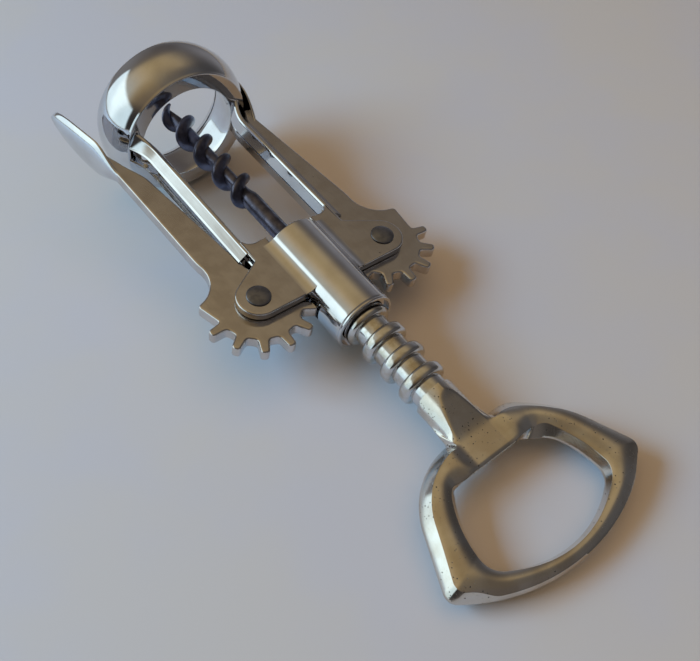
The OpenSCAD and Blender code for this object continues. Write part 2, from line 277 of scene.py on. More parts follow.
# The window is a soft-edged rectangle in the directions round its middle.
facing = direction(window["azimuth"], window["elevation"])
side = np.cross([0, 0, 1], facing)
side /= np.linalg.norm(side)
ahead = vectorMath("DOT_PRODUCT", where, facing, "Value")
pane = scalarMath("GREATER_THAN", ahead, 0.05)
for axis, half in ((side, window["halfWide"]), (np.cross(facing, side), window["halfHigh"])):
    off = scalarMath("ABSOLUTE", scalarMath("DIVIDE", vectorMath(
        "DOT_PRODUCT", where, axis, "Value"), ahead))
    fade = addNode(sky, "ShaderNodeMapRange", {"interpolation_type": "SMOOTHSTEP"},
                   {"Value": off, "From Min": half - window["edge"],
                    "From Max": half + window["edge"], "To Min": 1.0, "To Max": 0.0})
    pane = scalarMath("MULTIPLY", pane, fade.outputs["Result"])
shine = vectorMath("SCALE", color(window["shine"], window["level"])[:3], pane)
lit = vectorMath("ADD", air, shine)
glow = addNode(sky, "ShaderNodeBackground", None, {"Color": lit, "Strength": 1.0})
addNode(sky, "ShaderNodeOutputWorld", None, {"Surface": glow.outputs[0]})


def softLamp(name, place, facing, size, power, tint):
    # A large rectangle of light; the room above already shows what metal reflects of it.
    data = bpy.data.lights.new(name, "AREA")
    data.shape = "RECTANGLE"
    data.size, data.size_y = np.array(size) / 1000
    data.energy, data.color = power, color(tint)[:3]
    lamp = bpy.data.objects.new(name, data)
    bpy.context.scene.collection.objects.link(lamp)
    across = np.cross([0, 0, 1], facing) if abs(facing[2]) < 0.99 else np.array([1.0, 0, 0])
    across /= np.linalg.norm(across)
    lamp.matrix_world = Matrix.Translation(toFrame(place)) @ Matrix(
        np.column_stack([across, np.cross(facing, across), facing]).tolist()).to_4x4()
    lamp.visible_glossy = False


facing = direction(window["azimuth"], window["lampElevation"])
softLamp("windowLight", window["distance"] * facing, facing, (window["width"], window["height"]),
         window["power"], window["tint"])
softLamp("ceilingLight", (0, 0, ceiling["height"]), np.array([0, 0, 1.0]),
         (ceiling["size"], ceiling["size"]), ceiling["power"], ceiling["tint"])
print("light placed")

# The tool lies on its bell, the tips of the gears and the end of the handle, so the table is
# tilted to it: height is base, plus lengthways times y, plus sideways times x.
table = dict(base=-14.35, lengthways=-0.115, sideways=0.091, reach=1500,
             colour="#b6b3b0", warm="#b9b4ab")
span = np.linspace(-table["reach"], table["reach"], 5)
gx, gy = np.meshgrid(span, span, indexing="ij")
gz = table["base"] + table["lengthways"] * gy + table["sideways"] * gx
points, faces = grid(np.stack([gx, gy, gz], -1))
mesh = bpy.data.meshes.new("tableTop")
mesh.from_pydata(toFrame(points), [], faces)
floor = bpy.data.objects.new("tableTop", mesh)
bpy.context.scene.collection.objects.link(floor)


def material(name):
    look = bpy.data.materials.new(name)
    look.use_nodes = True
    tree = look.node_tree
    tree.nodes.clear()
    return look, tree, addNode(tree, "ShaderNodeTexCoord").outputs["Object"]


def finishMaterial(tree, shader):
    addNode(tree, "ShaderNodeOutputMaterial", None, {"Surface": shader.outputs[0]})


def mapRange(tree, value, fromLow, fromHigh, toLow, toHigh):
    return addNode(tree, "ShaderNodeMapRange", {"interpolation_type": "SMOOTHSTEP"},
                   {"Value": value, "From Min": fromLow, "From Max": fromHigh,
                    "To Min": toLow, "To Max": toHigh}).outputs["Result"]


def mixColor(tree, factor, first, second):  # 6, 7 and 2 are the node's colour sockets
    node = addNode(tree, "ShaderNodeMix", {"data_type": "RGBA"}, {0: factor, 6: first, 7: second})
    return node.outputs[2]


def perMm(size):  # texture scale for features of that many millimetres
    return 1000 / size


# Painted board: matt, pale, with a faint mottle.
look, tree, at = material("paintedBoard")
mottle = addNode(tree, "ShaderNodeTexNoise", None,
                 {"Vector": at, "Scale": perMm(60), "Detail": 3.0, "Roughness": 0.6})
paint = mixColor(tree, mapRange(tree, mottle.outputs["Fac"], 0.35, 0.65, 0, 1),
                 color(table["colour"]), color(table["warm"]))
finishMaterial(tree, addNode(tree, "ShaderNodeBsdfPrincipled", None,
                             {"Base Color": paint, "Roughness": 0.6}))
mesh.materials.append(look)


def platedMetal(name, finish):
    # Bright plate over a casting: a haze varies the roughness, hairlines run along the piece,
    # and pits, where the plate has gone, are dark round spots of several sizes.
    look, tree, at = material(name)
    haze = addNode(tree, "ShaderNodeTexNoise", None,
                   {"Vector": at, "Scale": perMm(finish["hazeSize"]), "Detail": 4.0})
    stretched = addNode(tree, "ShaderNodeMapping", None,
                        {"Vector": at, "Scale": finish["grainStretch"]}).outputs[0]
    grain = addNode(tree, "ShaderNodeTexNoise", None,
                    {"Vector": stretched, "Scale": perMm(finish["grainSize"]), "Detail": 3.0})
    cells = addNode(tree, "ShaderNodeTexVoronoi", None,
                    {"Vector": at, "Scale": perMm(finish["pitSpacing"]), "Randomness": 1.0})
    lot = addNode(tree, "ShaderNodeSeparateColor", None, {"Color": cells.outputs["Color"]})
    chosen = mapRange(tree, lot.outputs[0], finish["pitRarity"], finish["pitRarity"] + 0.12, 0, 1)
    patch = addNode(tree, "ShaderNodeTexNoise", None,
                    {"Vector": at, "Scale": perMm(finish["hazeSize"] * 1.7), "Detail": 1.0})
    grown = addNode(tree, "ShaderNodeMath", {"operation": "MULTIPLY"},
                    {0: mapRange(tree, patch.outputs["Fac"], 0.35, 0.6, 0.3, 1.0),
                     1: mapRange(tree, lot.outputs[1], 0, 1, 0.4, 1.0)})
    size = addNode(tree, "ShaderNodeMath", {"operation": "MULTIPLY"},
                   {0: addNode(tree, "ShaderNodeMath", {"operation": "MULTIPLY"},
                               {0: chosen, 1: grown.outputs[0]}).outputs[0],
                    1: finish["pitRadius"] / finish["pitSpacing"]})
    near = addNode(tree, "ShaderNodeMath", {"operation": "SUBTRACT"},
                   {0: size.outputs[0], 1: cells.outputs["Distance"]})
    pit = mapRange(tree, near.outputs[0], 0.0, 0.06, 0, 1)
    plateColour = mixColor(tree, mapRange(tree, haze.outputs["Fac"], 0.35, 0.7, 0, 1),
                           color(finish["colour"]), color(finish["stain"]))
    shown = mixColor(tree, pit, plateColour, color(finish["pitColour"]))
    low, high = finish["roughness"]
    rough = addNode(tree, "ShaderNodeMath", {"operation": "ADD"}, {
        0: mapRange(tree, haze.outputs["Fac"], 0.3, 0.75, low, high),
        1: mapRange(tree, pit, 0, 1, 0, 0.35)})
    relief = addNode(tree, "ShaderNodeMath", {"operation": "MULTIPLY_ADD"},
                     {0: grain.outputs["Fac"], 1: finish["grainHeight"], 2: mapRange(
                         tree, pit, 0, 1, 0, -0.12)})
    bump = addNode(tree, "ShaderNodeBump", None,
                   {"Height": relief.outputs[0], "Strength": 1.0, "Distance": 0.001})
    finishMaterial(tree, addNode(tree, "ShaderNodeBsdfPrincipled", None, {
        "Base Color": shown, "Metallic": 1.0, "Roughness": rough.outputs[0],
        "Normal": bump.outputs[0]}))
    return look


# Chromium plate on a zinc casting, buffed: mirror bright, faintly blue, with soft haze.
brightChrome = platedMetal("brightChromePlate", dict(
    colour="#dcdee2", stain="#cfcfd2", roughness=(0.05, 0.1), hazeSize=9, grainSize=1.2,
    grainStretch=(1, 0.12, 1), grainHeight=0.006, pitSpacing=3.2, pitRadius=0.22,
    pitRarity=0.9, pitColour="#6a625c"))
# The same plate on the flat cheeks and levers, rubbed duller by use: a soft satin mirror.
rubbedChrome = platedMetal("rubbedChromePlate", dict(
    colour="#d4d2d2", stain="#c6c2c0", roughness=(0.13, 0.24), hazeSize=5, grainSize=0.9,
    grainStretch=(1, 0.35, 1), grainHeight=0.012, pitSpacing=2.2, pitRadius=0.24,
    pitRarity=0.82, pitColour="#5f5852"))
# Old plate on the handle, pitted where the metal below has come through: bright, dark specks.
pittedChrome = platedMetal("pittedChromePlate", dict(
    colour="#dedcd8", stain="#cdc6bc", roughness=(0.1, 0.17), hazeSize=7, grainSize=1.0,
    grainStretch=(0.5, 0.3, 1), grainHeight=0.008, pitSpacing=0.75, pitRadius=0.17,
    pitRarity=0.0, pitColour="#453c31"))
# Turned and plated steel on the rack: bright, with fine turning marks round it.
turnedChrome = platedMetal("turnedChromePlate", dict(
    colour="#d8dadd", stain="#bdb6aa", roughness=(0.08, 0.2), hazeSize=3, grainSize=0.5,
    grainStretch=(0.2, 1, 0.2), grainHeight=0.006, pitSpacing=2.0, pitRadius=0.22,
    pitRarity=0.85, pitColour="#5a544c"))
# Hardened steel blackened in oil: near black with a low blue sheen.
blackSteel = platedMetal("oilBlackSteel", dict(
    colour="#707184", stain="#515262", roughness=(0.3, 0.42), hazeSize=3, grainSize=0.6,
    grainStretch=(1, 1, 1), grainHeight=0.02, pitSpacing=2.0, pitRadius=0.25,
    pitRarity=0.8, pitColour="#16151a"))
# Bare steel rivets, oxidised grey: dark with a broad soft highlight.
rivetSteel = platedMetal("oxidisedRivetSteel", dict(
    colour="#8e9099", stain="#777982", roughness=(0.36, 0.5), hazeSize=2, grainSize=0.5,
    grainStretch=(1, 1, 1), grainHeight=0.02, pitSpacing=1.5, pitRadius=0.2,
    pitRarity=0.8, pitColour="#2b292d"))
print("materials made")

bell = dict(rearY=62.6, mouthY=77.5, rearR=14.6, domeR=13.998, domeX=7.9, domeY=71.1,
            mouthR=17.2, lipR=18.9, lipY=75.0)


def bellProfile(b):
    # Flat rear ring, domed outside as an arc that stops short of both edges, rounded mouth
    # and flared lip, then the straight inner wall.
    rearA = np.degrees(np.arcsin((b["rearY"] - b["domeY"]) / b["domeR"]))
    mouthA = np.degrees(np.arcsin((b["mouthY"] - b["domeY"]) / b["domeR"]))
    dome = arc((b["domeX"], b["domeY"]), b["domeR"], rearA + 1.2, mouthA - 1.5, 60)
    rear = rounded([(b["rearR"], b["rearY"]), (dome[0][0] + 0.05, b["rearY"]), dome[3],
                    (b["rearR"], b["rearY"] + 3)], (0.3, 0.25, 0.01, 0.01))[:12]
    mouth = rounded([dome[-3], (dome[-1][0] - 0.1, b["mouthY"]), (b["lipR"], b["mouthY"]),
                     (b["mouthR"], b["lipY"])], (0.01, 0.35, 0.3, 0.5))[6:]
    wall = np.column_stack([np.linspace(b["mouthR"], b["rearR"], 12)[1:-1],
                            np.linspace(b["lipY"], b["rearY"] + 1, 12)[1:-1]])
    return np.concatenate([rear, dome[2:-3], mouth, wall])


makePiece("bell", [revolve(bellProfile(bell), steps=160)], brightChrome, "frame",
          ["bell"])

leg = dict(inner=12.5, outer=16.75, top=4.15, land=0.12, start=9.2, flangeY=12.9, stubX=14.6,
           webY=14.6, end=64.4, bendY=55.0, meetY=62.6, rise=1.7, lean=2.1, flare=2.2,
           web=1.7, webGrows=2.2)


def legSection(y, s, prong=0):
    # Corners of the channel section at each y: a wall that bulges at mid height, a bevel, the
    # ridge, then the face that falls to the outer edge. Near the bell it rises and leans out by
    # the square of the way there, and its web grows thicker by an S-curve. A prong is the upper
    # or lower flange alone.
    y = np.asarray(y, float)
    near = np.clip((y - leg["bendY"]) / (leg["meetY"] - leg["bendY"]), 0, 1.1) ** 2
    x0 = leg["inner"] + leg["lean"] * near
    top = leg["top"] + leg["rise"] * near
    out = np.where(y < leg["flangeY"], leg["stubX"] + 0.02, leg["outer"] + leg["flare"] * near)
    full = (y >= leg["flangeY"]) * 1.0
    lipZ = head["slot"] + leg["land"] * full
    floorX = leg["inner"] + leg["web"] + leg["webGrows"] * smooth(y, 57, 61)
    slot = head["slot"] + 0 * y
    ridge = [(x0 + 0.6, top - 0.55), (x0 + 0.95, top), (np.minimum(x0 + 1.91, out - 0.5), top),
             (np.minimum(x0 + 2.09, out - 0.42), top - 0.24), (out - 0.35, lipZ + 0.28),
             (out, lipZ - 0.1), (out, slot)]
    half = [0.12, 0.16, 0.12, 0.06, 0.1, 0.06, 0.03]
    if prong:
        corners, trims = [(x0 + 0.34, slot), *ridge], [0.03, *half]
    else:
        upper = [(x0 + 0.06, 0.28 + 0 * y), *ridge, (floorX, slot)]
        lower = [(x, -z) for x, z in upper[::-1]]
        lower[1] = (out - 0.3 * full, -slot)
        lower[2] = (out, -lipZ - 0.22)
        corners = [(x0 - 0.1, 0 * y), *upper, *lower]
        half = [0.05, *half, 0.4]
        trims = [0.06, *half, *half[::-1]]
    corners = np.stack([np.stack(np.broadcast_arrays(x, z), -1) for x, z in corners], 1)
    section = rounded(corners, np.array(trims), 4)
    side = -1 if prong < 0 else 1
    return np.stack([s * section[..., 0], np.repeat(y[:, None], section.shape[1], 1),
                     side * section[..., 1]], -1)


# The channel stops clear of the gear, at webY, and its two flanges go on to the cheeks.
legY = np.concatenate([[leg["webY"]], np.linspace(16, 54, 12),
                       np.linspace(leg["bendY"], leg["end"], 22)])
prongY = [leg["start"], leg["flangeY"] - 0.02, leg["flangeY"] + 0.02, leg["webY"]]
for name, s in (("left", -1), ("right", 1)):
    rows = [legSection(legY, s), legSection(prongY, s, 1), legSection(prongY, s, -1)]
    makePiece(name + "Leg", [grid(r, closeCols=True, caps=("start", "end")) for r in rows],
              brightChrome, "frame", [name + "_leg"])


cheek = dict(inner=7.0, foot=(15.1, 9.6), side=14.0, windowX=13.4, edge=0.45)


def cheekOutline(s):
    # Ear arc round the rivet, straight to the leg's foot, then the rounded window corner.
    ear, foot, inner, side = head["ear"], np.array(cheek["foot"]), cheek["inner"], cheek["side"]
    reach = foot - [pivotX, 0]
    gap = np.hypot(*reach)
    tangent = np.degrees(np.arctan2(reach[1], reach[0]) - np.arccos(ear / gap))
    corner = arc((cheek["windowX"] - head["windowR"], head["windowY"] + head["windowR"]),
                 head["windowR"], -22, -90, 10)
    loop = np.concatenate([[(inner, -ear + 0.1)], arc((pivotX, 0), ear, -90, tangent, 36),
                           [foot - (0, 0.3), foot - (0.35, 0.05), (side, 9.9), (side, 16.7)],
                           corner, [(inner, head["windowY"])]])
    return loop * [s, 1]


for name, low, high in (("front", head["slot"], head["top"]),
                        ("back", -head["top"], -head["slot"])):
    both = [plate(cheekOutline(s), low, high, cheek["edge"]) for s in (-1, 1)]
    makePiece(name + "Cheeks", both, rubbedChrome, "frame", [name + "_cheeks"])

# The heel lies between the cheeks and joins the collar to a leg. Its lower edge is an arc that
# keeps clear of the gear, and its upper edge ends in the window's rounded corner.
heel = dict(inner=6.9, low=9.4, high=14.95, gearRoom=15.2, atLeg=(13.6, 16.9),
            corner=(10.1, 17.9), cornerR=2.95, half=2.6, edge=0.05)
heelOutline = np.concatenate([[(heel["inner"], heel["low"])],
                              arc((pivotX, 0), heel["gearRoom"], 141.8, 112.9, 12),
                              [heel["atLeg"]], arc(heel["corner"], heel["cornerR"], -20, -90, 8),
                              [(heel["inner"], heel["high"])]])


def slottedTube(radii, y, steps, kept):
    # An outer and an inner surface on one grid of angle and y, with walls wherever a kept cell
    # meets one that is cut away. The angle runs from +Z towards +X.
    a = np.linspace(0, 2 * np.pi, steps, endpoint=False)
    shells = [np.stack([r * np.sin(a)[:, None], y + 0 * a[:, None], r * np.cos(a)[:, None]], -1)
              for r in radii]
    rows, cols = len(a), len(y)
    cells = kept(a[:, None] + np.pi / steps, (y[1:] + y[:-1]) / 2)
    i, j = np.nonzero(cells)
    number = lambda i, j, shell: (i % rows) * cols + j + shell * rows * cols
    faces = [np.stack([number(i, j, s), number(i + 1, j, s), number(i + 1, j + 1, s),
                       number(i, j + 1, s)], -1) for s in (0, 1)]
    padded = np.pad(cells, ((0, 0), (1, 1)))
    i, j = np.nonzero(padded[:, 1:] != padded[:, :-1])
    faces.append(np.stack([number(i, j, 0), number(i + 1, j, 0), number(i + 1, j, 1),
                           number(i, j, 1)], -1))
    i, j = np.nonzero(cells != np.roll(cells, 1, 0))
    faces.append(np.stack([number(i, j, 0), number(i, j + 1, 0), number(i, j + 1, 1),
                           number(i, j, 1)], -1))
    return np.concatenate([s.reshape(-1, 3) for s in shells]), np.concatenate(faces).tolist()


collar = dict(slotY=9.7, slotHalf=1.87, recessR=7.65, recess=1.0, bead=0.3, steps=208,
              groove=0.85, grooveDeep=0.16, grooveWide=0.14)
back, front = head["collarBack"], head["collarFront"]
ends = np.array([0, 0.04, 0.12, 0.25, 0.45])
step = back + collar["recess"]
y = np.unique(np.concatenate([back + ends, [step, step + 0.03, step + 0.8],
                              np.linspace(back + 3, front - 2, 24),
                              back + collar["groove"] + np.linspace(-0.3, 0.3, 11),
                              [-collar["slotY"], collar["slotY"]], front - ends]))
edgeGap = np.minimum(np.minimum(y - back, front - y) / collar["bead"], 1)
outerR = head["collarR"] - collar["bead"] * (1 - np.sqrt(1 - (1 - edgeGap) ** 2))
outerR -= collar["grooveDeep"] * np.exp(
    -((y - back - collar["groove"]) / collar["grooveWide"]) ** 2)
innerR = np.where(y < back + collar["recess"] + 0.01, collar["recessR"], head["boreR"])
slotShare = collar["slotHalf"] / head["boreR"]  # two slots, one for each gear
tube = slottedTube((outerR, innerR), y, collar["steps"], lambda a, mid: ~(
    (np.abs(np.cos(a)) < slotShare) & (np.abs(mid) < collar["slotY"])))
cove = dict(meets=42, reach=9.6)  # the angle where it meets the collar, and where it starts


def blendStrip(s, face):
    # A cove that joins a cheek to the collar: a hollow curve, tangent to both, carried along.
    y = np.linspace(-head["ear"] + 0.1, front - 0.1, 14)
    t = np.linspace(0, 1, 14)[:, None]
    angle = np.radians(cove["meets"])
    end = head["collarR"] * np.array([np.cos(angle), np.sin(angle)])
    down = (end[1] - head["top"]) / np.cos(angle)
    middle = end + down * np.array([np.sin(angle), -np.cos(angle)])
    start = np.array([cove["reach"], head["top"]])
    hollow = (1 - t) ** 2 * start + 2 * t * (1 - t) * middle + t ** 2 * end
    section = np.concatenate([hollow, [end - 0.4, (cove["reach"] - 0.6, head["top"] - 0.4)]])
    rows = np.stack([np.column_stack([s * section[:, 0], np.full(len(section), yy),
                                      face * section[:, 1]]) for yy in y])
    return grid(rows, closeCols=True, caps=("start", "end"))


makePiece("collar", [tube, *[blendStrip(s, f) for s in (-1, 1) for f in (-1, 1)],
                     *[plate(heelOutline * [s, 1], -heel["half"], heel["half"], heel["edge"])
                       for s in (-1, 1)]],
          brightChrome, "frame", ["collar"])

rivet = dict(shank=2.0, headR=3.1, headH=0.9, rim=0.32)
t = np.linspace(0, 1, 14)
rimTop = head["top"] - 0.05 + rivet["rim"]
domeTop = np.column_stack([rivet["headR"] * np.sin(t * np.pi / 2) ** 0.9,
                           rimTop + (rivet["headH"] - rivet["rim"])
                           * np.cos(t * np.pi / 2) ** 1.3])
half = np.concatenate([[(0, domeTop[0][1])], domeTop[1:],
                       [(rivet["headR"] - 0.3, head["top"] - 0.02),
                        (rivet["shank"], head["top"] - 0.04)]])
rivetProfile = np.concatenate([half, half[::-1] * [1, -1]])
for name, s in (("left", -1), ("right", 1)):
    makePiece(name + "Rivet", [revolve(rivetProfile, "z", (s * pivotX, 0), 64)], rivetSteel,
              "frame", [name + "_rivet"])

# Levers in their own frame: u is outwards from the axis, v runs from the pivot to the paddle.
lever = dict(half=1.7, edge=0.5, armIn=-5.4, foot=(3.6, 20), waist=(0.4, 52),
             shoulder=(12.1, 8.1), hollow=8.7, teeth=8, perTurn=13, rootR=11.0, tipR=14.9,
             toothTip=1.05, toothRoot=1.4, pinR=2.7, padStart=54, padWide=66.5,
             padTip=87.0, padRoot=1.5, padHalf=5.75, padThick=0.72, wrap=1.15, bowTop=72,
             plateIn=2.0)
leftLever = dict(side=-1, ajar=6.7, bowR=105, bowX=0.4, plateEnd=66.5, firstTooth=90.1)
rightLever = dict(side=1, ajar=0, bowR=32.5, bowX=2.58, plateEnd=61.7, firstTooth=99.35)


def bow(which, v):  # middle line of the paddle: an arc furthest out at bowTop
    return which["bowX"] - which["bowR"] + np.sqrt(which["bowR"] ** 2
                                                   - (v - lever["bowTop"]) ** 2)


def leverOutline(which):
    # Straight-sided arm that follows the bow into the paddle, hollow shoulder as an arc, then
    # the teeth about the pivot, each a trapezium turned by its own angle.
    foot, end, thin = np.array(lever["foot"]), which["plateEnd"], lever["plateIn"]
    lean = (lever["bowTop"] - end) / which["bowR"]
    centre = foot + [lever["hollow"], -3]
    hollow = arc(centre, lever["hollow"], 173, 252, 15)
    a = np.radians(which["firstTooth"] + np.arange(lever["teeth"]) * 360 / lever["perTurn"])
    radial = np.stack([np.sin(a), np.cos(a)], -1)[:, None]
    across = np.stack([np.cos(a), -np.sin(a)], -1)[:, None]
    shape = np.array([(-lever["toothRoot"], lever["rootR"]), (-lever["toothTip"], lever["tipR"]),
                      (lever["toothTip"], lever["tipR"]), (lever["toothRoot"], lever["rootR"])])
    teeth = (shape[:, :1] * across + shape[:, 1:] * radial).reshape(-1, 2)
    shoulder = np.array(lever["shoulder"])
    inner = np.sqrt(lever["rootR"] ** 2 - lever["armIn"] ** 2)
    corners = np.concatenate([
        [(bow(which, end) - thin, end + thin * lean), (bow(which, end) + 0.3, end - 0.3 * lean),
         (bow(which, 58) + 0.4, 58), lever["waist"], foot], hollow, [shoulder],
        teeth, [(lever["armIn"], inner), (lever["armIn"], 51), (-3.6, 57)]])
    trims = np.concatenate([[0.95, 1.0, 2, 3, 0.5], np.full(len(hollow), 0.05), [1.0],
                            np.tile([0.8, 0.95, 0.95, 0.8], lever["teeth"]), [1, 1.5, 1.5]])
    return rounded(corners, trims, 5)


def paddle(which):
    # An ellipse-like section carried along the bow: it widens by an S-curve to the widest
    # place, then narrows to the tip as a rounded leaf.
    t = np.sin(np.linspace(0, np.pi / 2, 46))
    v = lever["padStart"] + (lever["padTip"] - lever["padStart"]) * t
    grow = smooth(v, lever["padStart"] + 1, lever["padWide"])
    fall = np.clip((v - lever["padWide"]) / (lever["padTip"] - lever["padWide"]), 0, 1)
    high = lever["padRoot"] + (lever["padHalf"] - lever["padRoot"]) * grow
    high = high * np.sqrt(1 - fall ** 1.8 + 1e-9)
    thick = lever["padThick"] * (1 - fall ** 6) ** 0.5 + 1e-4
    a = np.linspace(0, 2 * np.pi, 48, endpoint=False)
    c, s = np.cos(a), np.sin(a)
    c, s = np.sign(c) * np.abs(c) ** 0.8, np.sign(s) * np.abs(s) ** 0.8
    bent = lever["wrap"] * grow[:, None] * s ** 2  # the leaf curls in towards the bell
    u = bow(which, v)[:, None] + 0.3 - bent + thick[:, None] * c
    return grid(np.stack([u, v[:, None] + 0 * u, high[:, None] * s], -1), closeCols=True,
                caps=("start", "end"))


def fromLever(which, points):  # own frame to the tool's: open by the angle, mirror, move
    a = np.radians(-which["ajar"])
    u, v, z = np.asarray(points).T
    x = u * np.cos(a) - v * np.sin(a) + pivotX
    return np.column_stack([which["side"] * x, u * np.sin(a) + v * np.cos(a), z])


for name, which in (("left", leftLever), ("right", rightLever)):
    pin = arc((0, 0), lever["pinR"], 0, 345, 24)
    body = plate(leverOutline(which), -lever["half"], lever["half"], lever["edge"], [pin])
    makePiece(name + "Lever", [(fromLever(which, p), f) for p, f in (body, paddle(which))],
              [rubbedChrome, brightChrome], name + "_lever", [name + "_lever"])

rack = dict(front=6.0, back=-43.45, rootR=4.6, ringR=6.3, round=1.8, pitch=6.91, rings=7,
            firstRing=2.21, bore=2.66, lead=0.5)


def rackProfile(r):
    # Radius against y: rounded rings on a straight core, each a half-oval on its own centre,
    # and a quarter circle that rounds the front edge.
    y = np.linspace(r["back"], r["front"], 700)
    centres = r["firstRing"] - r["pitch"] * np.arange(r["rings"])
    off = np.abs(y[:, None] - centres).min(1) / r["round"]
    swell = np.clip(1 - off ** 3.0, 0, 1) ** (1 / 2.6)
    radius = r["rootR"] + (r["ringR"] - r["rootR"]) * swell
    lead = np.minimum((r["front"] - y) / r["lead"], 1)
    radius -= r["lead"] * (1 - np.sqrt(1 - (1 - lead) ** 2))
    return np.concatenate([[(r["bore"], r["back"])], np.column_stack([radius, y]),
                           [(r["bore"], r["front"])]])


makePiece("rackSleeve", [revolve(rackProfile(rack), steps=96)], turnedChrome, "rack",
          ["rack_sleeve"], 60)

worm = dict(shank=2.55, core=1.75, outer=4.3, pitch=9.2, shankEnd=31.0, tip=75.8, back=-53.5,
            startDeg=141, shoulderR=4.0, shoulderY=6.05, shoulderLen=1.5, bevel=0.3,
            flangeIn=0.9, flangeRoot=2.3, flangeRim=0.9)


def wormParts(w):
    # Shank and core are one turned profile with a shoulder, and the core follows from the shank
    # by an S-curve. The flange is a rounded section carried along a helix: it is thickest at
    # its root, grows out of the shank and fades to the tip.
    bevel, shoulderEnd = w["bevel"], w["shoulderY"] + w["shoulderLen"]
    y = np.concatenate([[w["shoulderY"], w["shoulderY"] + bevel, shoulderEnd - bevel, shoulderEnd],
                        np.linspace(8, w["shankEnd"], 10),
                        np.linspace(w["shankEnd"] + 1, w["tip"], 60)])
    thinning = 1 - smooth(y, w["shankEnd"], w["shankEnd"] + 4)
    radius = w["core"] + (w["shank"] - w["core"]) * thinning
    radius[:4] = w["shoulderR"] - bevel * np.array([1, 0, 0, 1])
    radius *= np.clip((w["tip"] - y) / 9, 0, 1) ** 0.7
    shaft = np.concatenate([[(0, w["back"]), (w["shank"] - 0.2, w["back"]),
                             (w["shank"], w["back"] + 0.2), (w["shank"], w["shoulderY"] - 0.01)],
                            np.column_stack([radius, y]), [(0, w["tip"])]])
    turns = (w["tip"] - w["shankEnd"] - 0.8) / w["pitch"]
    t = np.linspace(0, 1, 420)[:, None]
    grow = smooth(t, -0.02, 0.07) * (1 - smooth(t, 0.8, 1.02)) ** 0.7 + 0.03
    out = w["core"] + (w["outer"] - w["core"]) * grow
    a = np.linspace(0, 2 * np.pi, 26, endpoint=False)
    c, s = np.cos(a), np.sin(a)
    c = np.sign(c) * np.abs(c) ** 0.45
    middle, reach = (out + w["flangeIn"]) / 2, (out - w["flangeIn"]) / 2
    radial = middle + reach * c
    thick = w["flangeRoot"] + (w["flangeRim"] - w["flangeRoot"]) * (c + 1) / 2
    axial = thick * np.sign(s) * np.abs(s) ** 0.75 * (0.25 + 0.75 * grow)
    turnA = 2 * np.pi * turns * t + np.radians(w["startDeg"])
    along = w["shankEnd"] + turns * w["pitch"] * t + axial
    flange = np.stack([radial * np.sin(turnA), along, radial * np.cos(turnA)], -1)
    return [revolve(shaft, steps=48), grid(flange, closeCols=True, caps=("start", "end"))]


makePiece("worm", wormParts(worm), blackSteel, "spindle", ["worm"], 50)

handle = dict(front=-43.65, end=-92.6, neckY=-55.5, shoulder=(6, -75.7), shoulderR=20.2,
              sideDeg=23.5, cornerR=3.0, endR=48.8, lipY=-64.5, holeSide=(-8, -81),
              holeSideR=26.3, holeEnd=(0, -59.7), holeEndR=29.0, holeCorner=5.0, half=3.6,
              wall=1.7, bulge=(2.35, 1.35), turn=-5.2, neckR=5.9, middle=(0, -77), crown=0.21,
              web=3.4, dish=0.9, lip=(1.1, 0.8), undercut=1.5, neckPower=1.5, endWall=0.3,
              endAt=(2.05, 2.5), bulgeAt=(0.155, 0.23), holeBulgeAt=(0.6, 0.95),
              shoulderOut=1.2, shoulderAt=(0.5, 0.22), scoop=1.9, scoopAt=(0.78, 0.23),
              softBy=0.16, neckHalf=(5.3, 6.35), neckSector=18.5, slopeFoot=2.7,
              slopeRise=0.29, slopeBend=1.2, slopeFront=0.9)


def handleLoops(h):
    # Right halves of the outer outline and of the hole, each a chain of tangent arcs.
    n = np.array([np.cos(np.radians(h["sideDeg"])), np.sin(np.radians(h["sideDeg"]))])
    down = np.array([n[1], -n[0]])
    centre, endC = np.array(h["shoulder"]), np.array([0, h["end"] + h["endR"]])
    foot = centre + (h["shoulderR"] - h["cornerR"]) * n
    gap, reach = foot - endC, h["endR"] - h["cornerR"]
    slide = -gap @ down + np.sqrt((gap @ down) ** 2 - gap @ gap + reach ** 2)
    corner = foot + slide * down
    cornerA = np.degrees(np.arctan2(*(corner - endC)[::-1]))
    neckA = np.degrees(np.arccos((6.5 - centre[0]) / h["shoulderR"]))
    yN = np.linspace(h["front"], h["neckY"] + 0.6, 14)
    thin, wide = h["neckHalf"]
    neck = np.column_stack([thin + (wide - thin) * smooth(yN, -43, -53), yN])
    outer = np.concatenate([[(0, h["front"]), (4.9, h["front"])], neck[1:],
                            arc(centre, h["shoulderR"], neckA - 1.5, h["sideDeg"], 60),
                            arc(corner, h["cornerR"], h["sideDeg"], cornerA, 30),
                            arc(endC, h["endR"], cornerA, -90, 60)[1:]])
    side, end = np.array(h["holeSide"]), np.array(h["holeEnd"])
    sideReach, endReach = h["holeSideR"] - h["holeCorner"], h["holeEndR"] - h["holeCorner"]
    between = end - side
    d = np.hypot(*between)
    along = (sideReach ** 2 - endReach ** 2 + d * d) / (2 * d)
    across = np.sqrt(sideReach ** 2 - along ** 2)
    tip = side + (along * between + across * np.array([between[1], -between[0]])) / d
    angle = lambda v: np.degrees(np.arctan2(v[1], v[0]))
    lipA = np.degrees(np.arcsin((h["lipY"] - side[1]) / h["holeSideR"]))
    lip = arc(side, h["holeSideR"], lipA, angle(tip - side), 60)
    hole = np.concatenate([[(0, h["lipY"]), (lip[0][0] - 0.5, h["lipY"]), lip[0] + (-0.1, -0.12)],
                           lip[1:],
                           arc(tip, h["holeCorner"], angle(tip - side), angle(tip - end), 24),
                           arc(end, h["holeEndR"], angle(tip - end), -90, 50)[1:]])
    return outer, hole


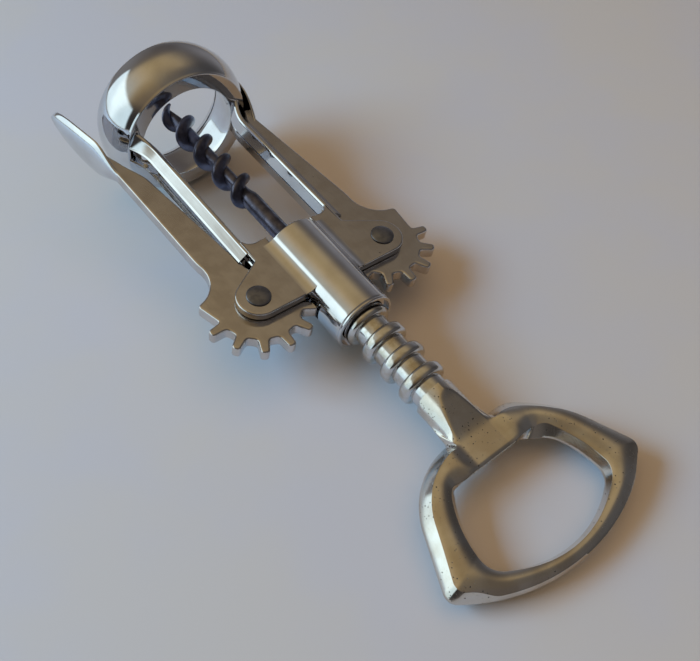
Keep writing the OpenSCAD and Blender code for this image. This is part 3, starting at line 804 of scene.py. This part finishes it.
def evenly(loop, step):  # the same outline with its points a step apart
    run = np.concatenate([[0], np.cumsum(np.hypot(*np.diff(loop, axis=0).T))])
    even = np.linspace(0, run[-1], int(run[-1] / step) + 2)
    return np.stack([np.interp(even, run, loop[:, k]) for k in (0, 1)], -1)


def polar(loop, centre, a):  # distance from the centre to a half outline at each angle
    x, y = (evenly(loop, 0.1) - centre).T
    own = np.arctan2(x, y)
    order = np.argsort(own)
    return np.interp(np.abs(a), own[order], np.hypot(x, y)[order])


def distanceTo(loop, points):  # shortest distance to a dense closed outline
    whole = np.concatenate([loop, loop[::-1] * [-1, 1]])
    dense = evenly(np.concatenate([whole, whole[:1]]), 0.12)
    flat = points.reshape(-1, 2)
    best = [np.hypot(*(part[:, None] - dense).transpose(2, 0, 1)).min(1)
            for part in np.array_split(flat, 24)]
    return np.concatenate(best).reshape(points.shape[:-1])


def softMin(a, b, k):
    return -k * np.log(np.exp(-a / k) + np.exp(-b / k))


def handleHeight(h, points, outerGap, holeGap):
    # Half thickness. Bars: the wall's half height plus a parabola over the share of the way
    # across the bar, with a lower outer wall and a flatter top at the far end. Web: flat with a
    # shallow dish and a soft lip. Neck: a round bar cut by a slope that falls to the loop, as a
    # shallow spoon.
    x, y = points[..., 0], points[..., 1]
    wide = outerGap + holeGap
    share = outerGap / wide
    atEnd = smooth(np.abs(np.arctan2(x, y - h["middle"][1])), *h["endAt"])
    edge = h["wall"] - h["endWall"] * atEnd * (1 - share)
    rise = softMin(h["crown"] * wide, h["half"] - h["wall"], 0.15)
    bars = edge + rise * (1 - 0.08 * atEnd) * 4 * share * (1 - share)
    lipWide, lipDrop = h["lip"]
    lip = np.clip(holeGap / lipWide, 0, 1)
    web = h["web"] - lipDrop * (1 - np.sqrt(1 - (1 - lip) ** 2)) - h["dish"] * (
        1 - smooth(np.abs(x), 4.5, 9)) * smooth(-y, 50, 58)
    loop = web + (bars - web) * smooth(np.hypot(x, 0.7 * np.minimum(y + 60, 0)), 5.5, 13)
    p = h["neckPower"]
    round_ = h["neckR"] * (1 - (np.minimum(np.abs(x), 5.7) / h["neckR"]) ** p) ** (1 / p)
    bend = h["slopeBend"]
    slope = h["slopeFoot"] + h["slopeRise"] * bend * np.log1p(np.exp((y - h["neckY"]) / bend))
    slope = slope + h["slopeFront"] * smooth(y, -47.5, -44.4)
    neck = softMin(round_, slope, 0.12)
    return neck + (loop - neck) * smooth(-y, 52.5, 58)


def bump(a, middle, width):  # a bell curve of height 1
    return np.exp(-((a - middle) / width) ** 2)


def handlePoints(h):
    # Rings about the loop's middle, one at each angle, in radians from the neck towards +X. A
    # ring runs over the top from the hole to the outside, down the outer wall, back underneath,
    # where the hole's edge is set back near the neck, and up the hole's wall. A wall is a
    # straight run plus its swell times (1 - |w| to a power), and w falls from 1 to -1 along it.
    outer, hole = handleLoops(h)
    centre = np.array(h["middle"])
    neckA = np.radians(h["neckSector"])  # the rings stand closer together over the neck
    dense = np.linspace(-neckA, neckA, 150, endpoint=False)
    rest = np.linspace(neckA, 2 * np.pi - neckA, 420, endpoint=False)
    a = np.concatenate([dense, (rest + np.pi) % (2 * np.pi) - np.pi])
    # The outer wall swells fully on the left, by half on the right, and least at the far end.
    swellOut = h["bulge"][0] * smooth(np.abs(a), *h["bulgeAt"]) * (
        1 - 0.8 * smooth(np.abs(a), 1.8, 2.04)) * (1 - 0.5 * smooth(a, 0.9, 1.4))
    out = polar(outer, centre, a) - swellOut + h["shoulderOut"] * bump(a, *h["shoulderAt"])
    scoop = h["scoop"] * bump(a, *h["scoopAt"])  # a hollow cut in the hole's right corner
    swellIn = scoop + h["bulge"][1] * smooth(np.abs(a), *h["holeBulgeAt"]) * (
        1 - 0.35 * smooth(np.abs(a), 1.7, 2.2))
    # In that corner the hole's edge is the mean of its neighbours, which rounds it.
    spread = np.linspace(-h["softBy"], h["softBy"], 7)
    rim = np.mean([polar(hole, centre, a + d) for d in spread], 0)
    soft = smooth(a, 0.4, 0.55) * (1 - smooth(a, 1.05, 1.2))
    rim = rim * soft + polar(hole, centre, a) * (1 - soft)
    inner = rim + swellIn - 0.75 * scoop
    t = (1 - np.cos(np.linspace(0, np.pi, 44))) / 2
    r = inner[:, None] + (out - inner)[:, None] * t
    flat = centre + r[..., None] * np.stack([np.sin(a), np.cos(a)], -1)[:, None]
    high = handleHeight(h, flat, distanceTo(outer, flat), distanceTo(hole, flat))
    top = np.concatenate([flat, high[..., None]], -1)
    away = np.stack([np.sin(a), np.cos(a)], -1)[:, None]
    cut = h["undercut"] * (1 - smooth(np.abs(a), 0.55, 0.9))[:, None, None]
    under = top[:, ::-1] * [1, 1, -1]
    share = (1 - t[::-1])[None, :, None] ** 2
    under[..., :2] += away * cut * share
    w = np.array([0.975, 0.9, 0.76, 0.5, 0.2, 0.05, -0.05, -0.2, -0.5, -0.76, -0.9, -0.975])

    def wall(start, end, swell, power):  # stands out most at its middle
        across = ((1 - w) / 2)[None, :, None]
        run = start[:, None] * (1 - across) + end[:, None] * across
        run[..., :2] += away * (swell * (1 - np.abs(w) ** power))[..., None]
        return run

    points = np.concatenate([top, wall(top[:, -1], under[:, 0], swellOut[:, None], 1.15), under,
                             wall(under[:, -1], top[:, 0], -swellIn[:, None], 1)], 1)
    c, s = np.cos(np.radians(h["turn"])), np.sin(np.radians(h["turn"]))
    x, y, z = np.moveaxis(points, -1, 0)
    return np.stack([x * c + z * s, y, z * c - x * s], -1)


makePiece("handle", [grid(handlePoints(handle), closeRows=True, closeCols=True)], pittedChrome,
          "spindle", ["handle_neck", "handle_loop"], 42)
